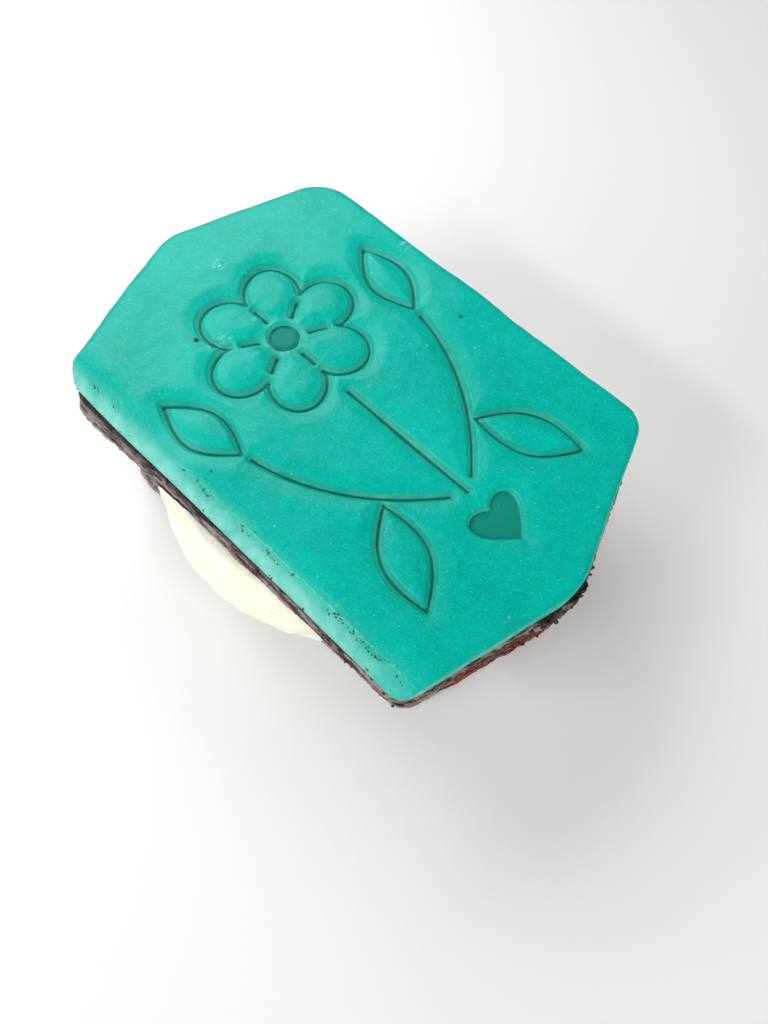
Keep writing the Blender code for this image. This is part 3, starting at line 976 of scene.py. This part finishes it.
# %% Biscuit finishes
def biscuit_finish(name, ridge_dust_and_sheen, top, top_height, top_fade, warm, warm_from):
    """Painted shade in the cracks, dust and painted sheen on the ridges, a band under the top (painted
    shade on the upper biscuit, its own tone on the others) and redder crumb towards the +X end.
    """
    made = Finish(name, 0.8)
    layers = made.noise(0.55 * MM, 4, stretch=(7, 7, 1))
    crumb = made.noise(0.3 * MM, 4)
    # Painted shade and sheen: where the relief sank the colour is darkened, where it rose it is lightened.
    height = made.ranged(made.attribute("relief"), -0.75, 0.55)
    tone = made.times(made.math("ADD", height, layers), 0.5)
    layers_with_painted_shade_and_sheen = made.ramp(tone, (0.42, linear(16, 10, 9)), (0.5, linear(70, 56, 52)), (0.6, ridge_dust_and_sheen))
    # A band under the top: painted shade on the upper biscuit, just under the icing; the lower biscuit's
    # own mauve; a liver tone on the loose crumbs.
    near_top = made.ranged(made.along("Z"), top_height - top_fade, top_height - 0.4 * top_fade)
    with_top_tone_and_shade = made.mix(near_top, layers_with_painted_shade_and_sheen, top)
    patches = made.ramp(made.noise(1.8 * MM, 4, stretch=(3, 3, 1)), (0.47, 0.0), (0.6, 0.9))
    broken = made.times(patches, made.ranged(made.along("X"), warm_from, warm_from + 12 * MM))
    reddened = made.mix(broken, with_top_tone_and_shade, made.ramp(crumb, (0.44, linear(26, 11, 7)), (0.64, warm)))
    made.colour(reddened)
    made.bump(crumb, 0.25 * MM)
    made.bump(layers, 0.4 * MM)
    return made


# %% Paint the biscuits and their crumbs
# The first colour is for the ridges: partly dust, partly painted sheen.
DUST_AND_SHEEN, MAUVE, SHADED = linear(158, 144, 140), linear(88, 58, 56), linear(30, 19, 16)
SMOKY, LIVER = linear(104, 88, 84), linear(62, 42, 38)
BRICK, RUST = linear(92, 46, 36), linear(184, 94, 38)
upper_top, lower_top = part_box("upper_biscuit")[1].z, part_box("lower_biscuit")[1].z
# Painted shade: the top 2.2 mm of the upper biscuit's side, under the icing's hem, is darkened to near
# black.
biscuit_finish("upper_biscuit_crumb", DUST_AND_SHEEN, SHADED, upper_top, 2.2 * MM, BRICK, 30 * MM).paint(upper)
biscuit_finish("lower_biscuit_crumb", DUST_AND_SHEEN, MAUVE, lower_top, 0.5 * MM, RUST, 22 * MM).paint(lower)
biscuit_finish("loose_crumb", SMOKY, LIVER, upper_top, 2.2 * MM, BRICK, 24 * MM).paint(biscuit_crumbs)

# %% Paint the crumbs and grains on the icing
dark_crumb = Finish("dark_crumb", 0.8)
stains = dark_crumb.noise(3 * MM)
dark_crumb.colour(dark_crumb.ramp(stains, (0.35, linear(36, 80, 56)), (0.7, linear(70, 80, 46))))
dark_crumb.bump(dark_crumb.noise(0.2 * MM), 0.05 * MM)
dark_crumb.paint(stuck_crumbs)
sugar = Finish("sugar_grain", 0.3)
soaked = sugar.noise(4 * MM)
sugar.colour(sugar.ramp(soaked, (0.4, linear(40, 192, 176)), (0.65, linear(104, 210, 196))))
sugar.paint(sugar_grains)

# %% [markdown]
# ## Vanilla ice cream
# Ice cream scatters light deep inside, so its shadows are pale and warm. A few specks of vanilla and
# toffee show in it.

# %% Ice cream finish
vanilla = Finish("vanilla_ice_cream", 0.5)
clouds = vanilla.noise(5 * MM, 3)
cream = vanilla.ramp(clouds, (0.3, linear(252, 238, 216)), (0.7, linear(255, 247, 233)))
distance, cell = vanilla.cells(4 * MM)
round_spot = vanilla.math("LESS_THAN", distance, 0.12)
fleck = vanilla.times(round_spot, vanilla.math("GREATER_THAN", cell, 0.6), 0.35)
vanilla.colour(vanilla.mix(fleck, cream, linear(236, 208, 156)))
vanilla.shader.inputs["Subsurface Weight"].default_value = 0.6
vanilla.shader.inputs["Subsurface Radius"].default_value = (0.004, 0.003, 0.002)
vanilla.shader.inputs["Subsurface Scale"].default_value = 1.0
vanilla.bump(vanilla.noise(0.7 * MM, 5), 0.3 * MM)
vanilla.paint(scoop)

# %% [markdown]
# ## Each piece takes its layer's place
# Food has no joints, so all of it rides on the one body.

# %% Hand the pieces to the frame
STANDS_FOR = ((icing, "icing"), (upper, "upper_biscuit"), (scoop, "ice_cream"), (lower, "lower_biscuit"))
for piece, node in STANDS_FOR:
    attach(piece, "root")
    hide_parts(node)
for piece in (stuck_crumbs, sugar_grains, biscuit_crumbs):
    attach(piece, "root")

# %% [markdown]
# ## Table, light and camera
# A white table, windows to the left and near side, and pale walls on the other sides give soft shadows.
# The walls are wide soft lights that the skin doesn't mirror. The world is only a backdrop, so it lights
# nothing. The camera looks down from close by, from between the near long side and the stems' end.

# %% Table
bpy.ops.object.select_all(action="DESELECT")
bpy.ops.mesh.primitive_plane_add(size=3, location=(0, 0, 0))
table = bpy.context.object
table.name = "table"
white = Finish("white_table", 0.55)
white.colour(white.ramp(white.noise(0.3), (0.3, linear(235, 235, 235)), (0.7, linear(239, 239, 239))))
white.paint(table)

# %% Camera
CAMERA_FROM_ICING = Vector((46.28, -47.32, 104.52)) * MM
LOOKING = Vector((-0.2472, 0.309, -0.9184))
UP = Vector((-0.6428, 0.6569, 0.3941))
LENS = 26.0

bpy.ops.object.camera_add(location=on_icing(*CAMERA_FROM_ICING))
camera = bpy.context.object
back = -LOOKING.normalized()
right = UP.cross(back).normalized()
camera.rotation_euler = Matrix((right, back.cross(right), back)).transposed().to_euler()
camera.data.lens = LENS
camera.data.clip_start = 0.01
bpy.context.scene.camera = camera

# %% Light
DAYLIGHT, WARM_WALL = (0.965, 0.99, 1.0), (1.0, 0.985, 0.955)


def window(name, direction, distance, size, power, colour=DAYLIGHT, mirrored=True, height=None):
    """A soft light that faces the sandwich. It is square unless it has a height of its own."""
    towards = Vector(direction).normalized()
    bpy.ops.object.light_add(type="AREA", location=on_icing(0, 0) + towards * distance)
    light = bpy.context.object
    light.name = name
    light.rotation_euler = towards.to_track_quat("Z", "Y").to_euler()
    light.data.shape = "RECTANGLE"
    light.data.size, light.data.size_y = size, height or size
    light.data.energy = power
    light.data.color = colour
    light.visible_glossy = mirrored


window("left_window", (-0.74, 0.0, 0.67), 0.32, 0.15, 0.43)
window("far_left_window", (-0.66, 0.42, 0.62), 0.32, 0.14, 0.37)
window("near_window", (-0.35, -0.85, 0.40), 0.45, 0.3, 0.34)
window("high_slot", (-0.26, -0.74, 0.63), 0.5, 0.22, 0.8, height=0.045)
window("low_window", (-0.35, -0.92, 0.18), 0.45, 0.3, 0.41)
window("far_wall", (0.2, 0.75, 0.6), 0.8, 0.6, 1.0, WARM_WALL, mirrored=False)
window("right_wall", (0.8, -0.2, 0.55), 0.8, 0.8, 5.3, WARM_WALL, mirrored=False)

room = bpy.data.worlds.new("pale_room")
room.use_nodes = True
room.node_tree.nodes["Background"].inputs["Color"].default_value = (0.96, 0.97, 1.0, 1)
room.node_tree.nodes["Background"].inputs["Strength"].default_value = 0.72
room.cycles_visibility.diffuse = False
room.cycles_visibility.glossy = False
bpy.context.scene.world = room
bpy.context.scene.view_settings.view_transform = "Standard"

# %% Update the scene
bpy.context.view_layer.update()
